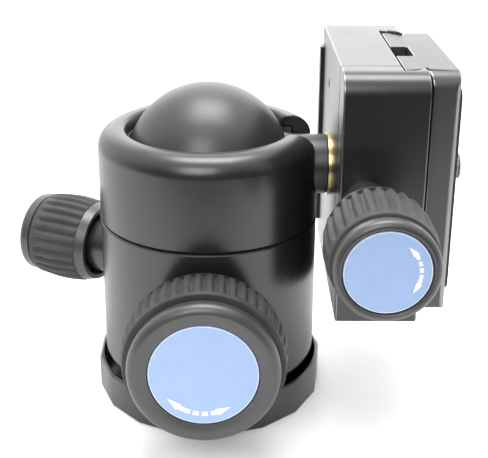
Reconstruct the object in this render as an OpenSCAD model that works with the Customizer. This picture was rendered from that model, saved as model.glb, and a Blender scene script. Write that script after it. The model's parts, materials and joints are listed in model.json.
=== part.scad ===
// Tripod ball head: a faceted pan base, a two-piece body, a ball with its
// stem laid in the drop notch, and a screw clamp that holds a dovetail plate.
// Origin: centre of the tripod face. +X: the stem. -Y: the big lock knob. +Z: up.

/* [Body] */
// Diameter of the upright body
body_d = 48.8; // [46.5:0.1:52]
// Height of the rim above the tripod face
rim_h = 62.8; // [61.5:0.1:64]
// From the ball's centre down to the seam between barrel and collar
seam_drop = 11.5; // [10:0.1:13]
// Radius of the rim's rounded outer edge
rim_round = 4.4; // [3:0.1:4.8]
// Radius of the barrel's rounded lower edge
foot_round = 2.4; // [1:0.1:3]
// Diameter of the rim's opening at its top
mouth_d = 36.6; // [36:0.1:38]
// Thickness of the barrel's floor
floor_t = 6; // [5:0.1:6.5]
// Depth and width of the chamfers that draw the seam
seam_cut = 0.35; // [0.2:0.05:0.6]
// Height of the spigot that centres the collar on the barrel
spigot_h = 3; // [2:0.1:3.6]
// Thickness of the spigot's wall
spigot_t = 2; // [1.4:0.1:2.4]

/* [Ball] */
// Diameter of the ball
ball_d = 36.6; // [36:0.1:37]
// Height of the ball's centre
ball_h = 53.7; // [53:0.1:54.2]
// Diameter of the stem
stem_d = 13.3; // [12:0.1:14]
// From the ball's centre to the end of the stem
stem_reach = 26.4; // [26.2:0.1:28]
// How much wider the stem is at its root, all round
stem_flare = 0.5; // [0.2:0.1:0.6]
// Thickness of the brass washer under the clamp
washer_t = 0.6; // [0.4:0.1:1]
// Gap between the ball and its seats
ball_gap = 0.3; // [0.2:0.05:0.35]
// Gap between the stem and the drop notch, each side
notch_gap = 0.45; // [0.4:0.05:1.2]
// Wall of the ring that holds the ball down
ring_wall = 1.6; // [1.2:0.1:1.9]
// Height of the ring that holds the ball down
ring_h = 6; // [4.5:0.1:6.2]

/* [Pan base] */
// Number of flats round the pan base
base_flats = 17; // [13:1:24]
// Diameter of the pan base across its corners
base_d = 52.2; // [52:0.1:56]
// Height of the pan base's lip
base_h = 7.8; // [7:0.1:7.9]
// Diameter inside the lip
lip_in_d = 50; // [49.6:0.1:51]
// Width of the bevel round the lip's top
lip_bevel = 0.45; // [0.2:0.05:0.5]
// Thickness of the pan base under the well
well_floor = 3.6; // [3:0.1:5]
// Diameter of the raised land that the body turns on
land_d = 38; // [36:0.5:42]
// Height of the land that the body turns on
land_h = 7.5; // [7:0.1:7.6]
// Thickness of the thrust washer
thrust_t = 0.6; // [0.5:0.1:1]
// Diameter of the pan spindle
spindle_d = 16; // [15:0.1:17]
// Diameter of the spindle's flange
flange_d = 24; // [23:0.5:26]
// Thickness of the spindle's flange
flange_t = 3; // [2.5:0.1:3.2]
// Tapping diameter of the 3/8 inch tripod thread
tripod_tap_d = 7.98; // [7.94:0.01:8.02]
// Depth of the tripod thread
tripod_tap_h = 11; // [9:0.5:12]

/* [Ball lock] */
// Height of the ball lock's axis
lock_h = 23.4; // [23:0.1:24]
// Diameter of the ball lock knob at its crown
lock_knob_d = 34.2; // [32:0.1:35]
// From the body's axis to the back of the lock knob
lock_knob_back = 26.9; // [26.6:0.1:29]
// Length of the lock knob
lock_knob_len = 13.3; // [12:0.1:15]
// Diameter of the lock knob's disc
lock_disc_d = 22; // [20:0.1:23]
// Diameter of the lock knob's metal cap
lock_cap_d = 30.8; // [28:0.1:31]
// Diameter of the boss behind the lock knob
lock_boss_d = 22; // [18:0.5:23]
// Number of ribs round the lock knob
lock_ribs = 44; // [30:1:48]
// Diameter of the lock spindle
lock_spindle_d = 8; // [7:0.1:8.4]
// Thread diameter in the wedge
lock_thread_d = 6; // [5:0.1:6.2]
// Width of the wedge
wedge_w = 10; // [9:0.1:12]
// Length of the wedge
wedge_len = 16; // [14:0.1:17]
// Slope of the wedge
wedge_slope = 8; // [6:0.5:9]
// Height of the wedge's middle above the floor of its channel
wedge_mid_h = 13.9; // [13.8:0.1:14.2]
// From the seam down to the top of the cup
cup_drop = 1.2; // [0.6:0.1:3]

/* [Pan lock] */
// Turn of the pan lock's axis from the ball lock's, clockwise from above
pan_turn = 114.4; // [105:0.1:125]
// Height of the pan lock's axis
pan_h = 28.8; // [28:0.1:28.9]
// From the body's axis to the back of the pan knob
pan_knob_back = 28.9; // [28.4:0.1:31]
// Diameter of the pan lock screw
pan_screw_d = 4; // [3.4:0.1:4.1]
// From the body's axis to the brake pin
pin_r = 15; // [14.5:0.1:16]
// Diameter of the brake pin
pin_d = 5; // [4:0.1:5.2]

/* [Small knobs] */
// Diameter of the small knobs at their crown
knob_d = 20.8; // [19:0.1:22]
// Length of the small knobs
knob_len = 18.2; // [17.5:0.1:20]
// Diameter of the small knobs' discs
knob_disc_d = 15.4; // [14:0.1:16]
// Diameter of the small knobs' metal caps
cap_d = 19; // [17.5:0.1:19.4]
// Number of ribs round a small knob
knob_ribs = 26; // [18:1:30]
// Diameter of the boss that a small knob turns over
boss_d = 13.6; // [12:0.1:14.4]

/* [Clamp] */
// Length of the clamp
clamp_len = 53; // [50:0.5:58]
// From the stem's axis to the clamp's far face
clamp_far = 24.4; // [23.4:0.1:26]
// From the stem's axis to the moving jaw's outer face
clamp_near = 24.8; // [24.4:0.1:26.5]
// From the stem's axis to the split between jaw and base
split_y = 16.4; // [15.5:0.1:16.7]
// Thickness of the clamp under its channel
clamp_t = 12.2; // [12:0.1:13]
// Height of the jaws above the channel's floor
jaw_h = 4.8; // [4.5:0.1:4.9]
// Radius at the four long corners of the clamp
clamp_round = 4.5; // [3:0.1:6]
// Width of the bevels along the jaws
jaw_bevel = 0.5; // [0.3:0.1:0.7]
// Gap at the split
split_gap = 0.3; // [0.2:0.05:0.5]
// Width of the rib along the far edge of the clamp's back
back_rib_w = 3.4; // [2:0.1:4]
// Height of the rib along the far edge of the clamp's back
back_rib_h = 0.9; // [0.5:0.1:1]
// From the clamp's back to the axis of its screw
screw_in = 5.3; // [5.1:0.1:5.6]
// Diameter of the clamp screw
clamp_screw_d = 5; // [4:0.1:5.2]
// Length of the boss on the moving jaw
jaw_boss_len = 4.5; // [3:0.1:6]
// From the stem's axis to the back of the clamp knob
clamp_knob_back = 37.8; // [36:0.1:40]
// Diameter of the guide pins
guide_d = 4; // [3.5:0.1:4.4]
// Distance between the guide pins
guide_gap = 34; // [32:0.5:40]
// Distance between the opening springs
spring_gap = 20; // [19:0.5:22]

/* [Plate] */
// Width of the plate's dovetail at its foot
dovetail_w = 38; // [37.8:0.1:38.2]
// Length of the plate
plate_len = 52; // [48:0.5:60]
// Thickness of the plate with its pads
plate_t = 11.6; // [10.5:0.1:12]
// Gap between the plate and the channel's floor
plate_lift = 0.5; // [0.3:0.1:0.6]
// Side shift of the plate from the stem's axis
plate_shift = 1.2; // [1.1:0.1:1.3]
// Width of the channel in the plate's underside
slot_w = 8.8; // [8.5:0.1:10]
// Depth of the channel in the plate's underside
slot_depth = 3.7; // [3.4:0.1:4]
// Thickness of the rubber pads
pad_t = 0.6; // [0.4:0.1:0.8]
// Diameter of the 1/4 inch camera screw
camera_screw_d = 6.35; // [6.3:0.05:6.4]
// How far the camera screw stands out of the pads
camera_screw_out = 4.5; // [4:0.1:5]

/* [Fits] */
// Radial clearance of parts that turn or slide
fit = 0.05; // [0.02:0.01:0.09]
// Clearance between parts that are fastened
seat = 0.02; // [0.01:0.01:0.05]

/* [Hidden] */
$fn = 96;

black = [0.11, 0.11, 0.12];
rubber = [0.06, 0.06, 0.06];
steel = [0.7, 0.7, 0.72];
brass = [0.78, 0.6, 0.3];
nylon = [0.85, 0.83, 0.76];
blue = [0.62, 0.75, 0.9];

seam_h = ball_h - seam_drop;
cup_top = seam_h - cup_drop;
body_r = body_d / 2;
ball_r = ball_d / 2;
stem_r = stem_d / 2;
base_r = base_d / 2;
spindle_r = spindle_d / 2;
flange_r = flange_d / 2;
lock_r = lock_spindle_d / 2;
thread_r = lock_thread_d / 2;
over = 1;                                  // how far cuts run past a face

// Heights of the pan bearing's stack
barrel_bottom = land_h + thrust_t;
floor_top = barrel_bottom + floor_t;
washer_gap = 0.1;
ring_stack_t = 1.2;
spindle_groove_d = spindle_d - 1.6;
retainer_d = spindle_d + 4.6;
ring_z = floor_top + washer_gap + ring_stack_t + washer_gap;
spindle_top = ring_z + ring_stack_t + 0.9;
cavity_r = retainer_d / 2 + 0.7;

// Ball seats
seat_r = ball_r + ball_gap;
bore_r = seat_r + 0.5;
cup_r = bore_r - fit;
ring_top = rim_h - 2.8;
ring_r = seat_r + ring_wall;
notch_r = stem_r + notch_gap;

// Wedge and cup
channel_z = lock_h - lock_thread_d / 2 - 1.5;
wedge_z = channel_z + washer_gap;
wedge_mid = wedge_z + wedge_mid_h;
wedge_rise = wedge_len / 2 * tan(wedge_slope);
wedge_travel = 1.3;
cup_bottom = wedge_mid - wedge_rise - 0.2;
cup_floor = cup_bottom - 0.3;
clip_t = 0.8;                              // spring clip that holds the lock spindle
channel_far = wedge_len / 2 + 1.8;
clip_y = wedge_len / 2 + wedge_travel + 0.2;
channel_near = clip_y + clip_t + washer_gap;

// Clamp
back_x = stem_reach + washer_t;            // the clamp's back, on the washer
floor_x = back_x + clamp_t;                // the channel's floor
jaw_x = floor_x + jaw_h;                   // top of both jaws
screw_x = back_x + screw_in;               // axis of the clamp screw
boss_r = boss_d / 2;
screw_r = clamp_screw_d / 2;
jaw_boss_y = clamp_near + jaw_boss_len;
thrust_w_t = 0.8;
jaw_boss_r = boss_r - 1.7;
jaw_washer_r = boss_r - 2.2;
neck_r = boss_r - 2;

// Plate
plate_x = floor_x + plate_lift;
tail_land = 1.3;                           // upright part of the dovetail's edge
tail_run = 2.9;                            // how far the dovetail draws in
tail_gap = 0.12;                           // between dovetail and jaws
waist_u = tail_land + tail_run;
shelf_u = jaw_h - plate_lift + 0.35;       // the plate's overhang clears the jaws
wing_u = shelf_u + 0.8;
plate_top = plate_x + plate_t;
metal_top = plate_top - pad_t;

// ---------- helpers ----------

// A flat shape in Y and Z, drawn out along X
module along_x(x0, x1) translate([x0, 0, 0]) rotate([90, 0, 90]) linear_extrude(x1 - x0) children();

// A block between two corners
module block(low, high) translate(low) cube(high - low);

// Places a part whose own +Z runs out along the ball lock's axis
module on_lock_axis() translate([0, 0, lock_h]) rotate([90, 0, 0]) children();

// The same for the pan lock and for the clamp's screw
module on_pan_axis() rotate([0, 0, -pan_turn]) translate([0, 0, pan_h]) rotate([90, 0, 0]) children();
module on_clamp_axis() translate([screw_x, 0, ball_h]) rotate([90, 0, 0]) children();

// Places a part whose own +Z runs out along the stem
module on_stem_axis() translate([0, 0, ball_h]) rotate([0, 90, 0]) children();

// A tube between two heights
module tube(r_out, r_in, z0, z1) {
    translate([0, 0, z0]) difference() {
        cylinder(r = r_out, h = z1 - z0);
        translate([0, 0, -over]) cylinder(r = r_in, h = z1 - z0 + 2 * over);
    }
}

// ---------- knobs ----------
// A knob is drawn from its back face at z = 0 outwards.

grip_gap = 0.15;                           // between the collar and the grip
groove_h = 0.5;                            // dark groove between grip and cap
disc_t = 0.6;
knob_well = 3;                             // hollow at a knob's back
grip_wall = 2.2;
flute_end = 0.9;                           // smooth band at the grip's front

// A knob's form as [diameter, length, collar, cap, rim radius, dish, ribs, disc diameter, cap diameter]
lock_form = [lock_knob_d, lock_knob_len, 0.6, 3.3, 1.8, 0.6, lock_ribs, lock_disc_d, lock_cap_d];
small_form = [knob_d, knob_len, 2.1, 2.9, 1.2, 0.3, knob_ribs, knob_disc_d, cap_d];
function cap_radius(f) = f[8] / 2;
function hub_radius(f) = f[0] / 2 - grip_wall;

// Rubber grip, crowned, with flutes that leave round ribs
module knob_grip(f) {
    crown = 0.6;
    flute_r = 0.95;
    z0 = f[2] + grip_gap;
    z1 = f[1] - f[3] - groove_h;
    span = z1 - z0;
    crown_r = (span * span / 4 + crown * crown) / (2 * crown);
    color(rubber) difference() {
        rotate_extrude() intersection() {
            translate([hub_radius(f) + seat, z0]) square([f[0] / 2, span]);
            translate([f[0] / 2 - crown_r, (z0 + z1) / 2]) circle(crown_r, $fn = 360);
        }
        for (i = [0:f[6] - 1]) rotate([0, 0, i * 360 / f[6]])
            translate([f[0] / 2 - crown - 0.25 + flute_r, 0, z0 - over])
                cylinder(r = flute_r, h = span + over - flute_end, $fn = 24);
    }
}

// Metal cap with a rounded rim, a dish and a seat for the disc
module knob_cap(f) {
    z0 = f[1] - f[3];
    crest = cap_radius(f) - f[4];
    disc_r = f[7] / 2;
    color(black) rotate_extrude() difference() {
        union() {
            translate([0, z0]) square([cap_radius(f), f[3] - f[4]]);
            translate([0, z0]) square([crest, f[3]]);
            translate([crest, f[1] - f[4]]) circle(f[4]);
        }
        translate([0, f[1] - f[5] - disc_t]) square([disc_r + seat, f[3]]);
        polygon([[0, f[1] - f[5]], [disc_r + 0.3, f[1] - f[5]], [crest, f[1] + 0.001],
            [crest, f[1] + over], [0, f[1] + over]]);
        translate([-crest, z0 - over]) square([crest, f[3] + 2 * over]);
        translate([0, z0 - f[3]]) square([f[0], f[3]]);
    }
}

module knob_disc(f) {
    color(blue) translate([0, 0, f[1] - f[5] - disc_t]) cylinder(d = f[7], h = disc_t);
}

// Metal core: collar, hub under the grip and neck of the groove, hollow at the back
module knob_core(f, well_r, hole_r, hole_h) {
    collar_r = f[0] / 2 - 0.8;
    color(black) difference() {
        union() {
            cylinder(r1 = collar_r - 0.3 * f[2], r2 = collar_r, h = f[2]);
            cylinder(r = hub_radius(f), h = f[1] - f[3]);
        }
        translate([0, 0, -over]) cylinder(r = well_r, h = knob_well + over);
        translate([0, 0, -over]) cylinder(r = hole_r, h = hole_h + over);
    }
}

// ---------- pan base ----------

// Flat-sided outline with its corners on a circle
module flats_outline(r) {
    turn = 7.2;
    polygon([for (i = [0:base_flats - 1])
        [r * sin(turn + i * 360 / base_flats), -r * cos(turn + i * 360 / base_flats)]]);
}

module pan_base() {
    color(black) difference() {
        union() {
            difference() {
                hull() {
                    linear_extrude(base_h - lip_bevel) flats_outline(base_r);
                    linear_extrude(base_h) flats_outline(base_r - lip_bevel);
                }
                translate([0, 0, well_floor]) cylinder(r = lip_in_d / 2, h = base_h);
            }
            translate([0, 0, well_floor - over]) cylinder(d = land_d, h = land_h - well_floor + over);
        }
        translate([0, 0, -over]) cylinder(r = spindle_r + seat, h = land_h + 2 * over);
        translate([0, 0, -over]) cylinder(r = flange_r + seat, h = flange_t + over);
        flange_screw_places() translate([0, 0, -over]) cylinder(d = flange_screw_d + 2 * seat, h = flange_screw_len + 0.5 + over);
    }
}

flange_screw_d = 2.16;
flange_screw_len = 5.5;
flange_head_d = 3.56;
flange_head_h = 1.1;
flange_hex_d = 1.4;
flange_hex_h = 0.8;
module flange_screw_places() for (i = [0:2]) rotate([0, 0, 30 + i * 120])
    translate([(spindle_r + flange_r) / 2, 0, 0]) children();

module pan_spindle() {
    color(steel) difference() {
        union() {
            cylinder(r = flange_r, h = flange_t);
            cylinder(r = spindle_r, h = spindle_top);
        }
        tube(spindle_r + over, spindle_groove_d / 2, ring_z - washer_gap / 2, ring_z + ring_stack_t + washer_gap / 2);
        translate([0, 0, -over]) cylinder(d = tripod_tap_d, h = tripod_tap_h + over);
        flange_screw_places() {
            translate([0, 0, -over]) cylinder(d = flange_screw_d + 2 * seat, h = flange_t + 2 * over);
            translate([0, 0, -0.001]) cylinder(d1 = flange_head_d + 4 * seat, d2 = flange_screw_d + 4 * seat,
                h = flange_head_h);
        }
    }
}

module spindle_flange_screws() {
    color(steel) flange_screw_places() difference() {
        union() {
            cylinder(d1 = flange_head_d, d2 = flange_screw_d, h = flange_head_h);
            cylinder(d = flange_screw_d, h = flange_screw_len);
        }
        translate([0, 0, -over]) cylinder(d = flange_hex_d, h = over + flange_hex_h, $fn = 6);
    }
}

module thrust_washer() {
    color(nylon) tube(pin_r - pin_d / 2 - 0.3, spindle_r + 0.3, land_h, barrel_bottom);
}

module retaining_washer() {
    color(steel) tube(retainer_d / 2, spindle_r + fit, floor_top + washer_gap, floor_top + washer_gap + ring_stack_t);
}

// Open spring ring that snaps into the spindle's groove
module retaining_ring() {
    color(steel) difference() {
        tube(retainer_d / 2 - 1, spindle_groove_d / 2 + seat, ring_z, ring_z + ring_stack_t);
        block([-1.6, 0, ring_z - over], [1.6, retainer_d, ring_z + 2 * over + ring_stack_t]);
    }
}

// ---------- body ----------

module housing_barrel() {
    color(black) difference() {
        union() {
            rotate_extrude() union() {
                translate([0, barrel_bottom]) square([body_r - foot_round, seam_h - barrel_bottom]);
                translate([0, barrel_bottom + foot_round])
                    square([body_r, seam_h - seam_cut - barrel_bottom - foot_round]);
                translate([0, seam_h - seam_cut - over]) square([body_r - seam_cut, seam_cut + over]);
                translate([body_r - foot_round, barrel_bottom + foot_round]) circle(foot_round);
            }
            tube(bore_r + 0.4 + spigot_t, bore_r + 0.4, seam_h - over, seam_h + spigot_h);
            on_lock_axis() translate([0, 0, body_r - 6]) cylinder(d = lock_boss_d, h = lock_knob_back - 0.4 - body_r + 6);
            on_pan_axis() translate([0, 0, body_r - 5]) cylinder(r = boss_r, h = pan_knob_back + 1.1 - body_r + 5);
        }
        // turns on the spindle
        translate([0, 0, barrel_bottom - over]) cylinder(r = spindle_r + fit, h = floor_t + 2 * over);
        translate([0, 0, floor_top]) cylinder(r = cavity_r, h = spindle_top + 0.6 - floor_top);
        // channel of the wedge
        block([-wedge_w / 2 - fit, -channel_near, spindle_top - over],
            [wedge_w / 2 + fit, channel_far, cup_floor + over]);
        // bore of the cup
        translate([0, 0, cup_floor]) cylinder(r = bore_r, h = seam_h);
        // ball lock spindle
        on_lock_axis() translate([0, 0, channel_near - over]) cylinder(r = lock_r + fit, h = body_r);
        // pan lock screw and brake pin
        on_pan_axis() translate([0, 0, pin_r - 3]) cylinder(r = pan_screw_d / 2 + fit, h = body_r);
        pan_pin_place() translate([0, 0, barrel_bottom - over]) cylinder(r = pin_d / 2 + fit, h = pan_h - barrel_bottom + over);
    }
}

module pan_pin_place() rotate([0, 0, -pan_turn]) translate([0, -pin_r, 0]) children();

module housing_collar() {
    mouth_r = mouth_d / 2;
    throat_r = sqrt(pow(seat_r, 2) - pow(ring_top - ball_h, 2)) + 0.2;
    color(black) difference() {
        rotate_extrude() difference() {
            union() {
                translate([0, seam_h + seam_cut]) square([body_r, rim_h - rim_round - seam_h - seam_cut]);
                translate([0, seam_h]) square([body_r - seam_cut, rim_h - seam_h - rim_round]);
                translate([0, seam_h + over]) square([body_r - rim_round, rim_h - seam_h - over]);
                translate([body_r - rim_round, rim_h - rim_round]) circle(rim_round);
            }
            // spigot seat, ball bore, ring seat, throat and mouth
            translate([0, seam_h - over]) square([bore_r + 0.4 + spigot_t + seat, over + spigot_h + 0.1]);
            translate([0, seam_h - over]) square([bore_r + 0.4, ring_top - ring_h - seam_h + over + 0.001]);
            translate([0, ring_top - ring_h]) square([ring_r + seat, ring_h]);
            polygon([[0, ring_top - over], [throat_r, ring_top - over], [throat_r, ring_top],
                [mouth_r, rim_h - 0.6], [mouth_r + 0.6, rim_h + 0.001], [0, rim_h + 0.001]]);
            translate([-rim_round, rim_h - 2 * rim_round]) square([rim_round, 3 * rim_round]);
        }
        drop_notch(notch_r);
    }
}

// The slot that the stem drops into: a round foot with upright sides
module drop_notch(r) {
    along_x(0, body_r + over) union() {
        translate([0, ball_h]) circle(r);
        translate([-r, ball_h]) square([2 * r, rim_h - ball_h + over]);
    }
}

module ball_retaining_ring() {
    color(brass) difference() {
        tube(ring_r, ring_r - ring_wall - 1.6, ring_top - ring_h + 0.02, ring_top);
        translate([0, 0, ball_h]) sphere(seat_r);
        drop_notch(notch_r + 0.3);
    }
}

module pressure_cup() {
    color(brass) difference() {
        translate([0, 0, cup_bottom]) cylinder(r = cup_r, h = cup_top - cup_bottom);
        translate([0, 0, ball_h]) sphere(seat_r);
        wedge_shape(wedge_w + 4 * fit, wedge_len + 8, washer_gap);
    }
}

// The wedge's side view, with its slope carried on past its ends for the cup's groove
module wedge_shape(w, len, lift) {
    rise = len / 2 * tan(wedge_slope);
    along_x(-w / 2, w / 2) polygon([[-len / 2, wedge_z], [len / 2, wedge_z],
        [len / 2, wedge_mid + rise + lift], [-len / 2, wedge_mid - rise + lift]]);
}

module lock_wedge() {
    color(steel) difference() {
        wedge_shape(wedge_w, wedge_len, 0);
        on_lock_axis() translate([0, 0, -wedge_len]) cylinder(r = thread_r + fit, h = 2 * wedge_len);
    }
}

module ball_lock_spindle() {
    tail = wedge_len / 2 + 1;
    color(steel) on_lock_axis() difference() {
        union() {
            translate([0, 0, -tail]) cylinder(r = thread_r, h = tail + clip_y);
            translate([0, 0, clip_y - 0.3]) cylinder(r = lock_r, h = lock_knob_back + lock_hold - clip_y + 0.3);
        }
        tube(lock_r + over, lock_r - 1, clip_y, clip_y + clip_t + 0.05);
    }
}

// Open spring clip in the spindle's groove, behind the body's wall
module spindle_clip() {
    color(steel) on_lock_axis() difference() {
        tube(lock_r + 0.8, lock_r - 1 + seat, clip_y + seat, clip_y + clip_t);
        translate([-1.4, 0, clip_y - over]) cube([2.8, 2 * lock_r, clip_t + 2 * over]);
    }
}

lock_hold = 8;                             // how deep the spindle sits in the lock knob
module ball_lock_knob_core() on_lock_axis() translate([0, 0, lock_knob_back])
    knob_core(lock_form, lock_boss_d / 2 - 0.8, lock_r + seat, lock_hold + seat);
module ball_lock_grip() on_lock_axis() translate([0, 0, lock_knob_back]) knob_grip(lock_form);
module ball_lock_cap() on_lock_axis() translate([0, 0, lock_knob_back]) knob_cap(lock_form);
module ball_lock_disc() on_lock_axis() translate([0, 0, lock_knob_back]) knob_disc(lock_form);

// ---------- pan lock ----------

small_well_r = boss_r + 1.2;
small_hold = 9;                            // how deep a screw sits in a small knob

module pan_lock_screw() {
    cone = 3;
    color(steel) on_pan_axis() union() {
        translate([0, 0, pin_r - 1.5]) cylinder(r1 = 0.4, r2 = pan_screw_d / 2, h = cone);
        translate([0, 0, pin_r - 1.5 + cone - 0.001]) cylinder(d = pan_screw_d,
            h = pan_knob_back + small_hold - pin_r + 1.5 - cone);
    }
}

module pan_brake_pin() {
    top = pan_h - pan_screw_d / 2 + 0.2;
    color(brass) pan_pin_place() translate([0, 0, land_h + 0.35]) union() {
        cylinder(d = pin_d, h = top - land_h - 1.55);
        translate([0, 0, top - land_h - 1.551]) cylinder(d1 = pin_d, d2 = pin_d - 2.4, h = 0.9);
    }
}

module pan_knob_core() on_pan_axis() translate([0, 0, pan_knob_back])
    knob_core(small_form, small_well_r, pan_screw_d / 2 + seat, small_hold + seat);
module pan_knob_grip() on_pan_axis() translate([0, 0, pan_knob_back]) knob_grip(small_form);
module pan_knob_cap() on_pan_axis() translate([0, 0, pan_knob_back]) knob_cap(small_form);
module pan_knob_disc() on_pan_axis() translate([0, 0, pan_knob_back]) knob_disc(small_form);

// ---------- ball ----------

fixing_hole_r = 3;
fixing_head_r = 5;
fixing_depth = 11;                         // how deep the fixing screw goes into the stem

module ball_and_stem() {
    root = ball_r - 2;
    color(black) difference() {
        union() {
            translate([0, 0, ball_h]) sphere(ball_r);
            on_stem_axis() translate([0, 0, ball_r / 2]) cylinder(r = stem_r, h = stem_reach - ball_r / 2);
            on_stem_axis() translate([0, 0, root]) cylinder(r1 = stem_r + stem_flare, r2 = stem_r, h = 4);
        }
        on_stem_axis() translate([0, 0, stem_reach - fixing_depth - over])
            cylinder(r = fixing_hole_r + fit, h = fixing_depth + 2 * over);
    }
}

module stem_washer() {
    color(brass) on_stem_axis() tube(stem_r + 0.35, fixing_hole_r + 0.1, stem_reach, stem_reach + washer_t);
}

// ---------- clamp ----------

// Outline of the clamp seen along the stem, with its four long corners rounded
module clamp_outline(y0, y1) {
    half = clamp_len / 2;
    translate([0, ball_h]) {
        for (y = [y0 + clamp_round, y1 - clamp_round], z = [-half + clamp_round, half - clamp_round])
            translate([y, z]) circle(clamp_round);
        translate([y0 + clamp_round, -half]) square([y1 - y0 - 2 * clamp_round, clamp_len]);
        translate([y0, -half + clamp_round]) square([y1 - y0, clamp_len - 2 * clamp_round]);
    }
}

// Half of the channel seen along the dovetail, as points from the floor outwards
function tail_half(gap) = dovetail_w / 2 + gap;

module channel_cut() {
    w = tail_half(tail_gap);
    draw = plate_lift + tail_land + 0.15;
    lip_w = w - (jaw_h - draw);
    translate([0, -plate_shift, ball_h - clamp_len]) linear_extrude(2 * clamp_len)
        polygon([[floor_x, -w], [floor_x + draw, -w], [jaw_x, -lip_w], [jaw_x + over, -lip_w],
            [jaw_x + over, lip_w], [jaw_x, lip_w], [floor_x + draw, w], [floor_x, w]]);
}

// The whole clamp before it is split into base and jaw
module clamp_blank() {
    difference() {
        intersection() {
            along_x(back_x, jaw_x) clamp_outline(-clamp_near, clamp_far);
            // bevelled long edges
            translate([0, 0, ball_h - clamp_len]) linear_extrude(2 * clamp_len)
                polygon([[back_x, -clamp_near + jaw_bevel], [back_x + jaw_bevel, -clamp_near],
                    [jaw_x - jaw_bevel, -clamp_near], [jaw_x, -clamp_near + jaw_bevel],
                    [jaw_x, clamp_far - jaw_bevel], [jaw_x - jaw_bevel, clamp_far],
                    [back_x + jaw_bevel, clamp_far], [back_x, clamp_far - jaw_bevel]]);
        }
        channel_cut();
    }
}

guide_tail = 2.3;                          // guide pins stop short of the clamp's middle
guide_short = 1.8;                         // and of the jaw's face
spring_d = 4.8;
spring_wire = 0.7;
spring_depth = 8;
mark_y = 6.5;                              // small hole in the clamp's back
mark_z = 16.6;
mark_d = 2.6;
mark_depth = 3;
module guide_places(gap) for (s = [-1, 1])
    translate([screw_x, 0, ball_h + s * gap / 2]) rotate([90, 0, 0]) children();

module clamp_base() {
    rib_half = clamp_len / 2 - clamp_round;
    color(black) difference() {
        union() {
            intersection() {
                clamp_blank();
                block([0, -split_y, ball_h - clamp_len], [jaw_x + over, clamp_far + over, ball_h + clamp_len]);
            }
            // rib along the far edge of the back
            block([back_x - back_rib_h, clamp_far - jaw_bevel - back_rib_w, ball_h - rib_half],
                [back_x + over, clamp_far - jaw_bevel, ball_h + rib_half]);
        }
        // fixing screw from the channel's floor
        on_stem_axis() translate([0, 0, back_x - over]) cylinder(r = fixing_hole_r + seat, h = clamp_t + 2 * over);
        on_stem_axis() translate([0, 0, floor_x - 5.8]) cylinder(r = fixing_head_r + 0.15, h = 5.8 + over);
        // clamp screw's thread, guide pins, springs
        on_clamp_axis() translate([0, 0, fixing_head_r + 1]) cylinder(r = screw_r + fit, h = split_y);
        guide_places(guide_gap) translate([0, 0, guide_tail - 0.3]) cylinder(r = guide_d / 2 + seat, h = split_y);
        guide_places(spring_gap) translate([0, 0, split_y - spring_depth])
            cylinder(d = spring_d + 0.4, h = spring_depth + over);
        // small hole in the back
        translate([back_x - over, mark_y, ball_h + mark_z]) rotate([0, 90, 0])
            cylinder(d = mark_d, h = mark_depth + over);
    }
}

module clamp_fixing_screw() {
    color(steel) on_stem_axis() difference() {
        union() {
            translate([0, 0, stem_reach - fixing_depth]) cylinder(r = fixing_hole_r, h = floor_x - 5.7 - stem_reach + fixing_depth);
            translate([0, 0, floor_x - 5.7]) cylinder(r = fixing_head_r, h = 5.2);
        }
        translate([0, 0, floor_x - 3.5]) cylinder(r = 2.9, h = 4, $fn = 6);
    }
}

module jaw_guide_pins() {
    color(steel) guide_places(guide_gap) translate([0, 0, guide_tail])
        cylinder(d = guide_d, h = clamp_near - guide_short - guide_tail);
}

module jaw_springs() {
    color(steel) guide_places(spring_gap) tube(spring_d / 2, spring_d / 2 - spring_wire,
        split_y - spring_depth, split_y + split_gap);
}

module movable_jaw() {
    color(black) difference() {
        union() {
            intersection() {
                clamp_blank();
                block([0, -clamp_near - over, ball_h - clamp_len], [jaw_x + over, -split_y - split_gap, ball_h + clamp_len]);
            }
            on_clamp_axis() translate([0, 0, split_y + split_gap + 2]) cylinder(r = jaw_boss_r, h = jaw_boss_y - split_y - split_gap - 2);
        }
        on_clamp_axis() cylinder(r = screw_r + fit, h = jaw_boss_y + over);
        guide_places(guide_gap) cylinder(r = guide_d / 2 + fit, h = clamp_near - guide_short + 0.3);
    }
}

module jaw_thrust_washer() {
    color(nylon) on_clamp_axis() tube(jaw_washer_r, screw_r + fit, jaw_boss_y, jaw_boss_y + thrust_w_t);
}

module clamp_screw() {
    color(steel) on_clamp_axis() translate([0, 0, fixing_head_r + 1.3])
        cylinder(r = screw_r, h = clamp_knob_back + small_hold - fixing_head_r - 1.3);
}

module clamp_knob_core() {
    neck_z = jaw_boss_y + thrust_w_t + washer_gap;
    on_clamp_axis() union() {
        translate([0, 0, clamp_knob_back])
            knob_core(small_form, small_well_r, screw_r + seat, small_hold + seat);
        color(black) tube(neck_r, screw_r + seat, neck_z, clamp_knob_back + knob_well + 0.01);
    }
}
module clamp_knob_grip() on_clamp_axis() translate([0, 0, clamp_knob_back]) knob_grip(small_form);
module clamp_knob_cap() on_clamp_axis() translate([0, 0, clamp_knob_back]) knob_cap(small_form);
module clamp_knob_disc() on_clamp_axis() translate([0, 0, clamp_knob_back]) knob_disc(small_form);

// ---------- plate ----------

plate_round = 3.6;
plate_bevel = 0.8;

// End view of the plate: foot, dovetail, waist, overhang and bevelled top
module plate_profile() {
    w = dovetail_w / 2;
    x = plate_x;
    waist = w - tail_run;
    side = [[x, w - 0.5], [x + 0.5, w], [x + tail_land, w], [x + waist_u, waist], [x + shelf_u, waist],
        [x + wing_u, w], [metal_top - plate_bevel, w], [metal_top, w - plate_bevel]];
    polygon(concat(side, [for (i = [len(side) - 1:-1:0]) [side[i][0], -side[i][1]]]));
}

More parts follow.
